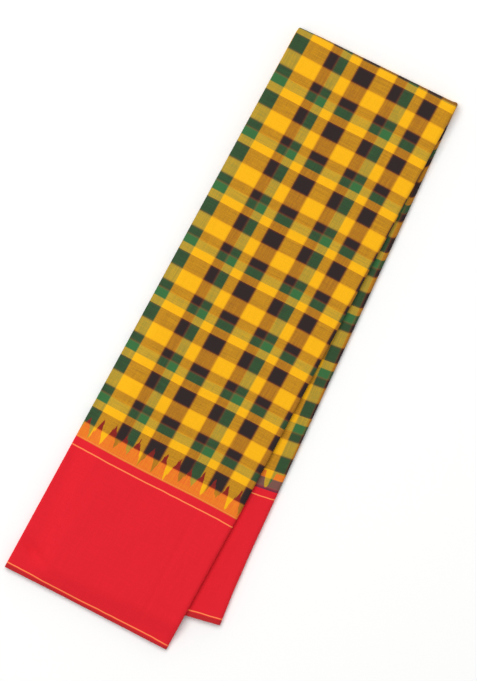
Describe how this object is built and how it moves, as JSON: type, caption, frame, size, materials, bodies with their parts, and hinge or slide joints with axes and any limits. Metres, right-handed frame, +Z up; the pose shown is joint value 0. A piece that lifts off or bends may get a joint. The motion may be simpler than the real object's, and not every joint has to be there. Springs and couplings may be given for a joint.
{
  "type": "folded saree",
  "caption": "Checked handloom saree with a plain contrast border and temple teeth, folded into a long flat strip and once across, lying flat.",
  "frame": {"origin": "on the table, under the middle of the folded saree's bounding box", "axes": "+Y along the folded strip towards the cross fold, +X to the right as seen from above, where the lower half fans out, +Z up from the table"},
  "size_m": [0.2176, 0.6222, 0.0167],
  "materials": {
    "checked_body": "handloom silk cotton, yellow, black and green checks",
    "red_border": "plain red handloom silk cotton with thin yellow lines",
    "folded_layers": "the same cloth, seen as folds and selvedges at the edges"
  },
  "bodies": {
    "root": {"upper_body_panel": "checked_body", "upper_border_panel": "red_border", "cross_fold_panel": "checked_body", "lower_body_panel": "checked_body", "lower_border_panel": "red_border", "under_body_panel": "checked_body", "under_border_panel": "red_border", "folded_layers": "folded_layers"}
  },
  "joints": []
}
